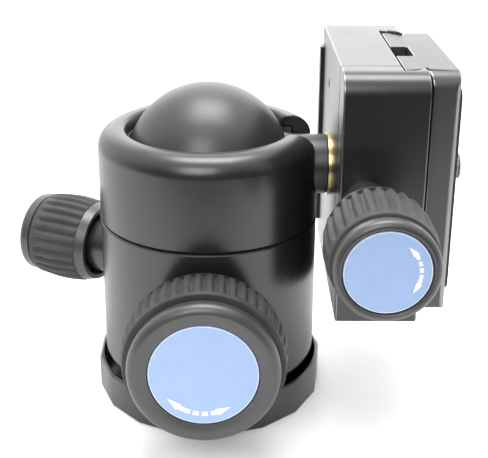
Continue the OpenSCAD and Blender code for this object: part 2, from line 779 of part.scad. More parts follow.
module quick_release_plate() {
    half = plate_len / 2;
    w = dovetail_w / 2;
    color(black) translate([0, -plate_shift, 0]) difference() {
        intersection() {
            translate([0, 0, ball_h - half]) linear_extrude(plate_len) plate_profile();
            along_x(plate_x - over, plate_top + over) translate([0, ball_h]) {
                for (y = [-w + plate_round, w - plate_round], z = [-half + plate_round, half - plate_round])
                    translate([y, z]) circle(plate_round);
                translate([-w + plate_round, -half]) square([dovetail_w - 2 * plate_round, plate_len]);
                translate([-w, -half + plate_round]) square([dovetail_w, plate_len - 2 * plate_round]);
            }
        }
        block([plate_x - over, -slot_w / 2, 0], [plate_x + slot_depth, slot_w / 2, ball_h + plate_len]);
        on_stem_axis() cylinder(r = camera_screw_d / 2 + fit, h = plate_top + over);
    }
}

// Two strips of rubber on the plate, either side of the screw
module plate_pads() {
    pad_w = 11;
    pad_len = plate_len - 8;
    color(rubber) for (s = [-1, 1]) along_x(metal_top, plate_top)
        translate([-plate_shift + s * (dovetail_w / 2 - plate_bevel - 0.7 - pad_w / 2), ball_h]) {
            square([pad_w, pad_len - 2 * 2], center = true);
            square([pad_w - 2 * 2, pad_len], center = true);
            for (a = [-1, 1], b = [-1, 1]) translate([a * (pad_w / 2 - 2), b * (pad_len / 2 - 2)]) circle(2);
        }
}

// Captive screw: head, thinner neck through the plate, thread outside the pads
module camera_screw() {
    head_x = plate_x + 0.4;
    head_h = slot_depth - 0.5;
    neck_d = camera_screw_d - 1.2;
    color(steel) translate([0, -plate_shift, 0]) on_stem_axis() difference() {
        union() {
            translate([0, 0, head_x]) cylinder(r = slot_w / 2 - 0.2, h = head_h);
            translate([0, 0, head_x]) cylinder(d = neck_d, h = plate_top - head_x + over);
            translate([0, 0, plate_top]) cylinder(d = camera_screw_d, h = camera_screw_out);
        }
        translate([-slot_w, -0.6, plate_x]) cube([2 * slot_w, 1.2, 1.6]);
    }
}

pan_base();
pan_spindle();
spindle_flange_screws();
thrust_washer();
retaining_washer();
retaining_ring();
housing_barrel();
housing_collar();
ball_retaining_ring();
pressure_cup();
lock_wedge();
ball_lock_spindle();
spindle_clip();
ball_lock_knob_core();
ball_lock_grip();
ball_lock_cap();
ball_lock_disc();
pan_lock_screw();
pan_brake_pin();
pan_knob_core();
pan_knob_grip();
pan_knob_cap();
pan_knob_disc();
ball_and_stem();
stem_washer();
clamp_base();
clamp_fixing_screw();
jaw_guide_pins();
jaw_springs();
movable_jaw();
jaw_thrust_washer();
clamp_screw();
clamp_knob_core();
clamp_knob_grip();
clamp_knob_cap();
clamp_knob_disc();
quick_release_plate();
plate_pads();
camera_screw();
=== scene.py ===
"""Tripod ball head: turned caps, ribbed grips, softened machined edges, finishes and a white studio."""

import json
import math

import bpy
from bpy.props import FloatProperty, FloatVectorProperty, IntProperty, PointerProperty
from mathutils import Matrix, Vector


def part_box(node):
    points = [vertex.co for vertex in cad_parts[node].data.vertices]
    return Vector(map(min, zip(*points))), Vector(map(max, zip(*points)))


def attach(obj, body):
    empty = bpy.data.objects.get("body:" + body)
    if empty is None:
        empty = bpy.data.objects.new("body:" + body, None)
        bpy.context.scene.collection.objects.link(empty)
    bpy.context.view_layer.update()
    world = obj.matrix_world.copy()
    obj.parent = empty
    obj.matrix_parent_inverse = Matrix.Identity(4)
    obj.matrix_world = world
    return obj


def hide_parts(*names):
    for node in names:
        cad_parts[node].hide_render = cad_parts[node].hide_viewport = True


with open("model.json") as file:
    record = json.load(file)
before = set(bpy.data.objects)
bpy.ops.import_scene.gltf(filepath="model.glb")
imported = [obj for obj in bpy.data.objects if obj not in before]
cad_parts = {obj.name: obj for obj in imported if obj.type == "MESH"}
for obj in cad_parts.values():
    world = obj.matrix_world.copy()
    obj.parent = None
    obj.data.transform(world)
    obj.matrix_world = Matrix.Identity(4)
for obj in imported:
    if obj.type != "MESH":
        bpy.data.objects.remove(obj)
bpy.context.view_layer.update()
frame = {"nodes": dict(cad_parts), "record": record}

bl_info = {
    "name": "Tripod ball head",
    "version": (1, 0, 0),
    "blender": (4, 5, 0),
    "location": "View3D > Sidebar > Ball head",
    "description": "Models the visible pieces of a tripod ball head on its frame and sets up the studio",
    "category": "Object",
}

MM = 0.001

# the turn that lays a piece modelled along Z along X, as the stem and the plate's screw lie
ALONG_X = Vector((1, 0, 0)).to_track_quat("Z", "Y").to_matrix()

# in degrees between two faces: a sharper edge is rounded over, a flatter one is dissolved
SHARP_ANGLE = 32.0
FLAT_ANGLE = 0.4
MERGE = 2e-6
ARC_STEP = 0.4 * MM

# the range that nearly all of a noise texture's values lie in, and that of pointiness on an edge that wears
NOISE_RANGE = (0.3, 0.7)
WORN_RANGE = (0.55, 0.70)

# how light the plate is beside the body, and the pads beside the grips
PLATE_SHADE = 3.4
PAD_SHADE = 0.8


# -------- sizes and colours


class BallHeadSizes(bpy.types.PropertyGroup):
    """Sizes that a user may change without touching the frame"""

    edge_round: FloatProperty(
        name="Edge rounding", description="Rounding of machined edges",
        default=0.25 * MM, min=0.05 * MM, max=0.5 * MM, unit="LENGTH", subtype="DISTANCE")
    rib_height: FloatProperty(
        name="Rib height", description="How far the grips' ribs stand out of their grooves",
        default=0.75 * MM, min=0.2 * MM, max=1.2 * MM, unit="LENGTH", subtype="DISTANCE")
    turned_steps: IntProperty(
        name="Steps round", description="Faces round a turned piece", default=144, min=48, max=256)
    mark_height: FloatProperty(
        name="Mark height", description="Height of the printed arrow above a disc",
        default=0.03 * MM, min=0.01 * MM, max=0.1 * MM, unit="LENGTH", subtype="DISTANCE")


def colour_property(name, description, default):
    return FloatVectorProperty(
        name=name, description=description, default=default, min=0, max=1, size=3, subtype="COLOR")


class BallHeadColours(bpy.types.PropertyGroup):
    """Base colours of the finishes"""

    anodised: colour_property(
        "Anodised body", "Colour of the body, the clamp and, lighter, the plate", (0.011, 0.011, 0.0115))
    ball: colour_property("Ball", "Colour of the ball and stem", (0.018, 0.018, 0.0185))
    knob: colour_property("Knob metal", "Colour of the knobs' caps and cores", (0.040, 0.040, 0.040))
    rubber: colour_property("Grip rubber", "Colour of the grips", (0.040, 0.040, 0.040))
    disc: colour_property("Disc", "Colour of the knobs' discs", (0.330, 0.455, 0.705))
    brass: colour_property("Brass", "Colour of the brass pieces", (0.72, 0.55, 0.27))


# -------- finishes


def ranged(tree, value, source, target, kind="LINEAR"):
    """A node socket's value, mapped from one range to another."""
    node = tree.nodes.new("ShaderNodeMapRange")
    node.interpolation_type = kind
    for socket, number in zip(("From Min", "From Max", "To Min", "To Max"), (*source, *target)):
        node.inputs[socket].default_value = number
    tree.links.new(value, node.inputs["Value"])
    return node.outputs["Result"]


def combined(tree, operation, first, second):
    """What a math node makes of two node sockets."""
    node = tree.nodes.new("ShaderNodeMath")
    node.operation = operation
    tree.links.new(first, node.inputs[0])
    tree.links.new(second, node.inputs[1])
    return node.outputs[0]


def noise(tree, coords, scale, detail):
    texture = tree.nodes.new("ShaderNodeTexNoise")
    texture.inputs["Scale"].default_value = scale
    texture.inputs["Detail"].default_value = detail
    tree.links.new(coords, texture.inputs["Vector"])
    return texture.outputs["Fac"]


def patched(tree, coords, colour, scale, amount):
    """Slightly darker and lighter patches of a colour."""
    ramp = tree.nodes.new("ShaderNodeValToRGB")
    for element, position, share in zip(ramp.color_ramp.elements, NOISE_RANGE, (1 - amount, 1 + amount)):
        element.position = position
        element.color = (*[min(1, value * share) for value in colour], 1)
    tree.links.new(noise(tree, coords, scale, detail=4.0), ramp.inputs["Fac"])
    return ramp.outputs["Color"]


def worn(tree, coords, tone, colour, amount):
    """A lighter colour on sharp outer edges, broken up by noise."""
    pointiness = tree.nodes.new("ShaderNodeNewGeometry").outputs["Pointiness"]
    edge = ranged(tree, pointiness, WORN_RANGE, (0, amount))
    patches = ranged(tree, noise(tree, coords, scale=900.0, detail=3.0), NOISE_RANGE, (0.4, 1.0))
    mix = tree.nodes.new("ShaderNodeMix")
    mix.data_type = "RGBA"
    tree.links.new(combined(tree, "MULTIPLY", edge, patches), mix.inputs["Factor"])
    tree.links.new(tone, mix.inputs["A"])
    mix.inputs["B"].default_value = (*colour, 1)
    return mix.outputs["Result"]


def make_finish(name, colour, roughness, patches, wear=None, gloss=None, bump=None, detail=2.0,
                metallic=0.0, specular=0.5):
    """A node-based material.

    patches holds a noise scale and an amount, wear a colour and an amount, gloss a noise scale and the
    lowest and highest roughness, and bump a noise scale, a strength and a distance.
    """
    material = bpy.data.materials.new(name)
    material.use_nodes = True
    tree = material.node_tree
    shader = tree.nodes["Principled BSDF"].inputs
    shader["Base Color"].default_value = (*colour, 1)
    shader["Roughness"].default_value = roughness
    shader["Metallic"].default_value = metallic
    shader["Specular IOR Level"].default_value = specular
    coords = tree.nodes.new("ShaderNodeTexCoord").outputs["Object"]
    tone = patched(tree, coords, colour, *patches)
    if wear:
        tone = worn(tree, coords, tone, *wear)
    tree.links.new(tone, shader["Base Color"])
    if gloss:
        shine = noise(tree, coords, gloss[0], detail=4.0)
        tree.links.new(ranged(tree, shine, NOISE_RANGE, gloss[1:]), shader["Roughness"])
    if bump:
        scale, strength, distance = bump
        relief = tree.nodes.new("ShaderNodeBump")
        relief.inputs["Strength"].default_value = strength
        relief.inputs["Distance"].default_value = distance
        tree.links.new(noise(tree, coords, scale, detail), relief.inputs["Height"])
        tree.links.new(relief.outputs["Normal"], shader["Normal"])
    return material


def make_finishes():
    """The finishes by their slots' names, with those of the plate, the painted highlight on rounded edges
    and the marks.
    """
    colour = bpy.context.scene.ball_head_colours
    plate_colour = [value * PLATE_SHADE for value in colour.anodised]
    pad_colour = [value * PAD_SHADE for value in colour.rubber]
    return {
        "black_anodised": make_finish(
            "black_anodised_satin", colour.anodised, roughness=0.31, specular=0.72, patches=(60.0, 0.10),
            wear=((0.20, 0.20, 0.21), 0.35), gloss=(35.0, 0.28, 0.34), bump=(5200.0, 0.14, 0.00004)),
        "plate_anodised": make_finish(
            "black_anodised_plate", plate_colour, roughness=0.40, specular=0.75, patches=(60.0, 0.10),
            wear=((0.22, 0.22, 0.23), 0.35), gloss=(35.0, 0.36, 0.44), bump=(5200.0, 0.14, 0.00004)),
        # a lighter metal finish on the rounded edges: a painted highlight along them
        "edge_highlight": make_finish(
            "painted_edge_highlight", (0.21, 0.21, 0.215), roughness=0.30, metallic=1.0, patches=(160.0, 0.12),
            gloss=(60.0, 0.26, 0.36), bump=(5200.0, 0.08, 0.00003)),
        "ball_black": make_finish(
            "ball_hard_anodised", colour.ball, roughness=0.38, specular=0.7, patches=(50.0, 0.08),
            gloss=(28.0, 0.36, 0.42), bump=(4200.0, 0.12, 0.00004)),
        "knob_metal": make_finish(
            "knob_satin_metal", colour.knob, roughness=0.35, specular=0.7, patches=(70.0, 0.10),
            wear=((0.22, 0.22, 0.23), 0.3), gloss=(40.0, 0.32, 0.39), bump=(3800.0, 0.15, 0.00004)),
        "knob_rubber": make_finish(
            "grip_moulded_rubber", colour.rubber, roughness=0.62, specular=0.4, patches=(220.0, 0.22),
            gloss=(160.0, 0.54, 0.72), bump=(2400.0, 0.35, 0.00006), detail=3.0),
        "pad_rubber": make_finish(
            "pad_moulded_rubber", pad_colour, roughness=0.75, specular=0.35, patches=(150.0, 0.2),
            bump=(1800.0, 0.5, 0.0001), detail=4.0),
        "blue_disc": make_finish(
            "disc_light_blue", colour.disc, roughness=0.36, specular=0.4, patches=(400.0, 0.025),
            bump=(5200.0, 0.08, 0.00003)),
        "disc_mark": make_finish(
            "disc_printed_white", (0.86, 0.87, 0.88), roughness=0.5, specular=0.4, patches=(900.0, 0.03)),
        "brass_part": make_finish(
            "turned_brass", colour.brass, roughness=0.3, metallic=1.0, patches=(120.0, 0.10),
            gloss=(90.0, 0.24, 0.36), bump=(3000.0, 0.1, 0.00003)),
        "steel_part": make_finish(
            "machined_steel", (0.56, 0.56, 0.57), roughness=0.32, metallic=1.0, patches=(140.0, 0.10),
            gloss=(90.0, 0.26, 0.4), bump=(2600.0, 0.12, 0.00003)),
        "bearing_plastic": make_finish(
            "bearing_moulded_plastic", (0.78, 0.76, 0.68), roughness=0.5, patches=(90.0, 0.05),
            bump=(1500.0, 0.1, 0.00003)),
    }


FINISHES = {}


# -------- modelling helpers


def sizes():
    """The sizes that a user may change."""
    return bpy.context.scene.ball_head_sizes


def middle(box):
    """The middle of a box that is given by its two corners."""
    return (box[0] + box[1]) / 2


def half_height(box):
    """The radius of a round piece that lies level, from its box."""
    return (box[1].z - box[0].z) / 2


def deselect_all():
    """Leaves edit mode and selects nothing."""
    if bpy.context.object and bpy.context.object.mode != "OBJECT":
        bpy.ops.object.mode_set(mode="OBJECT")
    bpy.ops.object.select_all(action="DESELECT")


def make_active(piece):
    deselect_all()
    bpy.context.view_layer.objects.active = piece
    piece.select_set(True)


def select_where(piece, test):
    """In edit mode, selects the vertices whose places pass a test."""
    bpy.ops.mesh.select_mode(type="VERT")
    bpy.ops.mesh.select_all(action="DESELECT")
    bpy.ops.object.mode_set(mode="OBJECT")
    for vertex in piece.data.vertices:
        vertex.select = test(vertex.co)
    bpy.ops.object.mode_set(mode="EDIT")
    bpy.ops.mesh.select_mode(type="VERT")


def edit_all():
    """Enters edit mode with everything selected."""
    bpy.ops.object.mode_set(mode="EDIT")
    bpy.ops.mesh.select_all(action="SELECT")


def close_edit():
    """Turns all the faces outwards and leaves edit mode."""
    bpy.ops.mesh.select_all(action="SELECT")
    bpy.ops.mesh.normals_make_consistent(inside=False)
    bpy.ops.object.mode_set(mode="OBJECT")


def settle(matrix=None):
    """Applies the active piece's transform, or the one that is given."""
    piece = bpy.context.object
    if matrix:
        piece.matrix_world = matrix
    bpy.ops.object.transform_apply(location=True, rotation=True, scale=True)
    return piece


def place(piece, turn, at):
    """Turns a piece that was modelled along Z, moves it to its seat and applies both."""
    make_active(piece)
    settle(Matrix.Translation(at) @ turn.to_4x4())


def twin(piece):
    """A copy of a piece, with a mesh of its own."""
    copy = bpy.data.objects.new(piece.name, piece.data.copy())
    bpy.context.scene.collection.objects.link(copy)
    return copy


def dress(piece, finish, body, stands_for=(), smooth=30.0):
    """Finish, shading and body of a finished piece, and the CAD nodes that it stands for hidden."""
    make_active(piece)
    if len(piece.data.materials) > 1:
        piece.data.materials[0] = FINISHES[finish]
    else:
        piece.data.materials.clear()
        piece.data.materials.append(FINISHES[finish])
    if smooth:
        bpy.ops.object.shade_smooth_by_angle(angle=math.radians(smooth))
        even = piece.modifiers.new("even_shading", "WEIGHTED_NORMAL")
        even.keep_sharp = True
        bpy.ops.object.modifier_apply(modifier="even_shading")
    deselect_all()
    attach(piece, body)
    if stands_for:
        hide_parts(*stands_for)


def arc(centre_r, centre_z, radius, start, end, steps):
    """Points (r, z) along an arc, angles in degrees from the outward direction."""
    angles = [math.radians(start + (end - start) * step / steps) for step in range(steps + 1)]
    return [(centre_r + radius * math.cos(angle), centre_z + radius * math.sin(angle)) for angle in angles]


def widen(factor, height):
    """Resizes what is selected about the Z axis, at one height."""
    bpy.ops.transform.resize(value=(factor, factor, 1), center_override=(0, 0, height))


def turned(name, outline, steps=None):
    """A solid turned about Z: a disc extruded and resized from one (radius, height) to the next."""
    deselect_all()
    radius, height = outline[0]
    bpy.ops.mesh.primitive_circle_add(vertices=steps or sizes().turned_steps, radius=radius,
                                      fill_type="NGON", location=(0, 0, height))
    piece = settle()
    piece.name = piece.data.name = name
    edit_all()
    for next_radius, next_height in outline[1:]:
        bpy.ops.mesh.extrude_region_move(TRANSFORM_OT_translate={"value": (0, 0, next_height - height)})
        widen(next_radius / radius, next_height)
        radius, height = next_radius, next_height
    bpy.ops.mesh.select_all(action="SELECT")
    bpy.ops.mesh.remove_doubles(threshold=MERGE)
    bpy.ops.mesh.select_mode(type="EDGE")
    bpy.ops.mesh.select_all(action="DESELECT")
    bpy.ops.mesh.select_non_manifold()
    bpy.ops.mesh.edge_face_add()
    close_edit()
    return piece


def bevel_edges(piece, width, index=-1):
    """Rounds sharp edges over; with an index, the new faces take the finish of that index."""
    make_active(piece)
    edge = piece.modifiers.new("round_over", "BEVEL")
    edge.width = width
    edge.segments = 2
    edge.limit_method = "ANGLE"
    edge.angle_limit = math.radians(SHARP_ANGLE)
    edge.use_clamp_overlap = False
    edge.material = index
    bpy.ops.object.modifier_apply(modifier="round_over")


def machined_copy(name, node, width):
    """A copy of a machined solid with its sharp edges rounded over."""
    piece = twin(frame["nodes"][node])
    piece.name = piece.data.name = name
    make_active(piece)
    edit_all()
    bpy.ops.mesh.remove_doubles(threshold=MERGE)
    bpy.ops.mesh.dissolve_limited(angle_limit=math.radians(FLAT_ANGLE))
    bevel_edges(piece, width)
    return piece


def ease(piece, width):
    """Rounds a piece's sharp edges over; the new faces take a second, lighter metal finish that paints a
    highlight along the edges.
    """
    piece.data.materials.clear()
    for slot in ("black_anodised", "edge_highlight"):
        piece.data.materials.append(FINISHES[slot])
    bevel_edges(piece, width, index=1)
    edit_all()
    bpy.ops.mesh.remove_doubles(threshold=MERGE)
    close_edit()


def rod(radius, start, end, turn=None, seat=(0, 0, 0), steps=96):
    """A round bar along Z, or along the Z of a given turn."""
    deselect_all()
    bpy.ops.mesh.primitive_cylinder_add(vertices=steps, radius=radius, depth=end - start,
                                        location=(0, 0, (start + end) / 2))
    piece = settle()
    place(piece, turn or Matrix.Identity(3), seat)
    return piece


def block(low, high):
    """A box between two corners."""
    low, high = Vector(low), Vector(high)
    deselect_all()
    bpy.ops.mesh.primitive_cube_add(size=1, location=(low + high) / 2)
    bpy.context.object.scale = high - low
    return settle()


def drawn(sections, low_z, high_z, middle_y):
    """A bar along Z whose width in Y changes from one X to the next: (x, half width) pairs."""
    x, half = sections[0]
    deselect_all()
    bpy.ops.mesh.primitive_plane_add(size=1, location=(0, 0, 0))
    piece = settle(Matrix.Translation((x, middle_y, (low_z + high_z) / 2))
                   @ Matrix.Rotation(math.radians(90), 4, "Y")
                   @ Matrix.Diagonal((high_z - low_z, half * 2, 1, 1)))
    edit_all()
    for next_x, next_half in sections[1:]:
        bpy.ops.mesh.extrude_region_move(TRANSFORM_OT_translate={"value": (next_x - x, 0, 0)})
        bpy.ops.transform.resize(value=(1, next_half / half, 1), center_override=(next_x, middle_y, 0))
        x, half = next_x, next_half
    close_edit()
    return piece


def carve(piece, tool, operation="DIFFERENCE"):
    """Cuts with, joins or keeps what is common with a second solid, which is used up."""
    make_active(piece)
    cut = piece.modifiers.new("carve", "BOOLEAN")
    cut.operation = operation
    cut.solver = "EXACT"
    cut.object = tool
    bpy.ops.object.modifier_apply(modifier="carve")
    bpy.data.objects.remove(tool)


def join(piece, other):
    """Makes a second solid, which overlaps the first, part of it."""
    if not other.data.materials:
        other.data.materials.append(piece.data.materials[0])
    make_active(piece)
    other.select_set(True)
    bpy.ops.object.join()


def round_ends(piece, radii):
    """Rounds the edges along X of a box: (near or far, upper or lower, radius) rows."""
    corners = [vertex.co.copy() for vertex in piece.data.vertices]
    near, far = min(co.y for co in corners), max(co.y for co in corners)
    lower, upper = min(co.z for co in corners), max(co.z for co in corners)
    make_active(piece)
    bpy.ops.object.mode_set(mode="EDIT")
    for side, end, radius in radii:
        y = near if side == "near" else far
        z = lower if end == "lower" else upper
        select_where(piece, lambda co: abs(co.y - y) < MERGE and abs(co.z - z) < MERGE)
        bpy.ops.mesh.select_mode(type="EDGE")
        steps = max(3, round(radius / ARC_STEP))
        bpy.ops.mesh.bevel(offset=radius, segments=steps, profile=0.5, affect="EDGES")
    bpy.ops.object.mode_set(mode="OBJECT")


# -------- where the knobs sit

PAN_TURN = math.radians(114.4)
KNOB_SHAPES = {
    "large": {"ribs": 44, "cap_round": 1.8 * MM, "dish": 0.6 * MM},
    "small": {"ribs": 26, "cap_round": 1.2 * MM, "dish": 0.3 * MM},
}


class Knob:
    """Where a knob sits and how large its pieces are, read from the CAD nodes."""

    def __init__(self, key, body, outwards, seat, size):
        self.key, self.body, self.size = key, body, size
        self.shape = KNOB_SHAPES[size]
        self.outwards = Vector(outwards).normalized()
        self.side = Vector((0, 0, 1)).cross(self.outwards).normalized()
        self.turn = Matrix((self.side, self.outwards.cross(self.side), self.outwards)).transposed()
        self.seat = Vector(seat)

    def reach(self, part, direction):
        """Lowest and highest place of one of the knob's nodes along a direction, from its seat."""
        vertices = frame["nodes"][f"{self.key}_{part}"].data.vertices
        along = [(vertex.co - self.seat).dot(direction) for vertex in vertices]
        return min(along), max(along)

    def ends(self, part):
        return self.reach(part, self.outwards)

    def radius(self, part):
        return self.reach(part, self.side)[1]


def knobs():
    """The knobs of the ball lock, of the pan lock and of the clamp."""
    lock = middle(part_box("ball_lock_disc"))
    clamp = middle(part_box("clamp_knob_disc"))
    pan = middle(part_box("pan_knob_grip"))
    return (
        Knob("ball_lock", "lock_knob", (0, -1, 0), (lock.x, 0, lock.z), "large"),
        Knob("pan_knob", "pan_knob", (-math.sin(PAN_TURN), -math.cos(PAN_TURN), 0), (0, 0, pan.z), "small"),
        Knob("clamp_knob", "clamp_knob", (0, -1, 0), (clamp.x, 0, clamp.z), "small"),
    )


def seat_in_knobs(part, ending, model, finish, smooth, then=None):
    """Models a part once for each size of knob and seats a copy, with what goes on it, in every knob."""
    patterns = {}
    for knob in knobs():
        if knob.size not in patterns:
            patterns[knob.size] = model(knob)
        piece = twin(patterns[knob.size])
        piece.name = piece.data.name = knob.key + ending
        place(piece, knob.turn, knob.seat + knob.outwards * knob.ends(part)[0])
        dress(piece, finish, knob.body, (f"{knob.key}_{part}",), smooth=smooth)
        if then:
            then(knob)
    for pattern in patterns.values():
        bpy.data.meshes.remove(pattern.data)


# -------- operators


class BALLHEAD_OT_finishes(bpy.types.Operator):
    """Make the finishes and give them to the CAD nodes that stay in view"""

    bl_idname = "ballhead.finishes"
    bl_label = "Finishes"

    def execute(self, context):
        FINISHES.update(make_finishes())
        slots = {row["node"]: row["material_slot"] for row in frame["record"]["subparts"]}
        for name, node in frame["nodes"].items():
            node.data.materials.clear()
            finish = "knob_metal" if name == "ball_retaining_ring" else slots[name]
            node.data.materials.append(FINISHES[finish])
        return {"FINISHED"}


class BALLHEAD_OT_machined(bpy.types.Operator):
    """Round over the edges of the base and the upper body"""

    bl_idname = "ballhead.machined"
    bl_label = "Machined pieces"

    rows = (
        ("base_ring", "pan_base", "base", 0.5),
        ("body_collar", "housing_collar", "housing", 1.6),
    )

    def execute(self, context):
        for name, node, body, share in self.rows:
            piece = machined_copy(name, node, sizes().edge_round * share)
            dress(piece, "black_anodised", body, (node,), smooth=40.0)
        return {"FINISHED"}


class BALLHEAD_OT_barrel(bpy.types.Operator):
    """Turn the lower body, join the bosses for both locks to it and bore it"""

    bl_idname = "ballhead.barrel"
    bl_label = "Lower body"

    foot = 2.4 * MM
    seam_cut = 0.35 * MM
    spigot_wall = 3.0 * MM
    spigot_relief = 0.4 * MM
    floor = 6.0 * MM
    lock_boss = 11.0 * MM
    pan_boss = 6.8 * MM
    pan_boss_end = 30.0 * MM
    boss_root = 6.0 * MM
    clearance = 0.05 * MM
    past = 1.0 * MM
    washer_rim = 2.3 * MM
    pocket_rim = 2.95 * MM
    pocket_room = 0.6 * MM
    channel_sink = 1.6 * MM
    wedge_room_near = 2.4 * MM
    wedge_room_far = 1.8 * MM
    cup_room = 0.3 * MM
    lock_bore_root = 1.4 * MM
    pan_bore_root = 12.0 * MM
    pin_room = 2.1 * MM

    def execute(self, context):
        low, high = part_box("housing_barrel")
        radius, seam = high.x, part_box("housing_collar")[0].z
        cup_low, cup_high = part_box("pressure_cup")
        bore = cup_high.x + self.clearance
        spigot_bore = bore + self.spigot_relief
        spigot = spigot_bore + self.spigot_wall
        outline = arc(radius - self.foot, low.z + self.foot, self.foot, -90, 0, steps=10)
        outline += [(radius, seam - self.seam_cut), (radius - self.seam_cut, seam),
                    (spigot, seam), (spigot, high.z)]
        piece = turned("body_barrel", outline)
        lock, pan = knobs()[:2]
        root = radius - self.boss_root
        carve(piece, rod(self.lock_boss, root, -low.y, lock.turn, lock.seat), "UNION")
        carve(piece, rod(self.pan_boss, root, self.pan_boss_end, pan.turn, pan.seat), "UNION")
        for cutter in self.bores(lock, pan, low, seam, bore, spigot_bore, cup_low.z):
            carve(piece, cutter)
        dress(piece, "black_anodised", "housing", ("housing_barrel",))
        return {"FINISHED"}

    def bores(self, lock, pan, low, seam, bore, spigot_bore, cup_bottom):
        """Spindle bore, washer pocket, wedge channel, cup bore, both lock holes and the pin hole."""
        floor_top = low.z + self.floor
        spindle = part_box("retaining_washer")[1].x - self.washer_rim + self.clearance
        pocket_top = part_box("pan_spindle")[1].z + self.pocket_room
        wedge_low, wedge_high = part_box("lock_wedge")
        cup_floor = cup_bottom - self.cup_room
        pin_low, pin_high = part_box("pan_brake_pin")
        pin = middle((pin_low, pin_high))
        pin_radius = (pin_high.x - pin_low.x) / 2 + self.clearance
        screw_radius = half_height(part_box("pan_lock_screw")) + self.clearance
        lock_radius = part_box("ball_lock_spindle")[1].x + self.clearance
        yield rod(spindle, low.z - self.past, floor_top + self.past)
        yield rod(spindle + self.pocket_rim, floor_top, pocket_top)
        yield block((wedge_low.x - self.clearance, wedge_low.y - self.wedge_room_near,
                     pocket_top - self.channel_sink),
                    (wedge_high.x + self.clearance, wedge_high.y + self.wedge_room_far,
                     cup_floor + self.past))
        yield rod(bore, cup_floor, seam + self.past, steps=128)
        yield rod(spigot_bore, seam, seam + 2 * self.spigot_wall, steps=128)
        yield rod(lock_radius, self.lock_bore_root - wedge_low.y, self.past - low.y, lock.turn, lock.seat)
        yield rod(screw_radius, self.pan_bore_root, self.pan_boss_end + self.past, pan.turn, pan.seat)
        yield rod(pin_radius, low.z - self.past, pin_high.z + self.pin_room, seat=(pin.x, pin.y, 0))


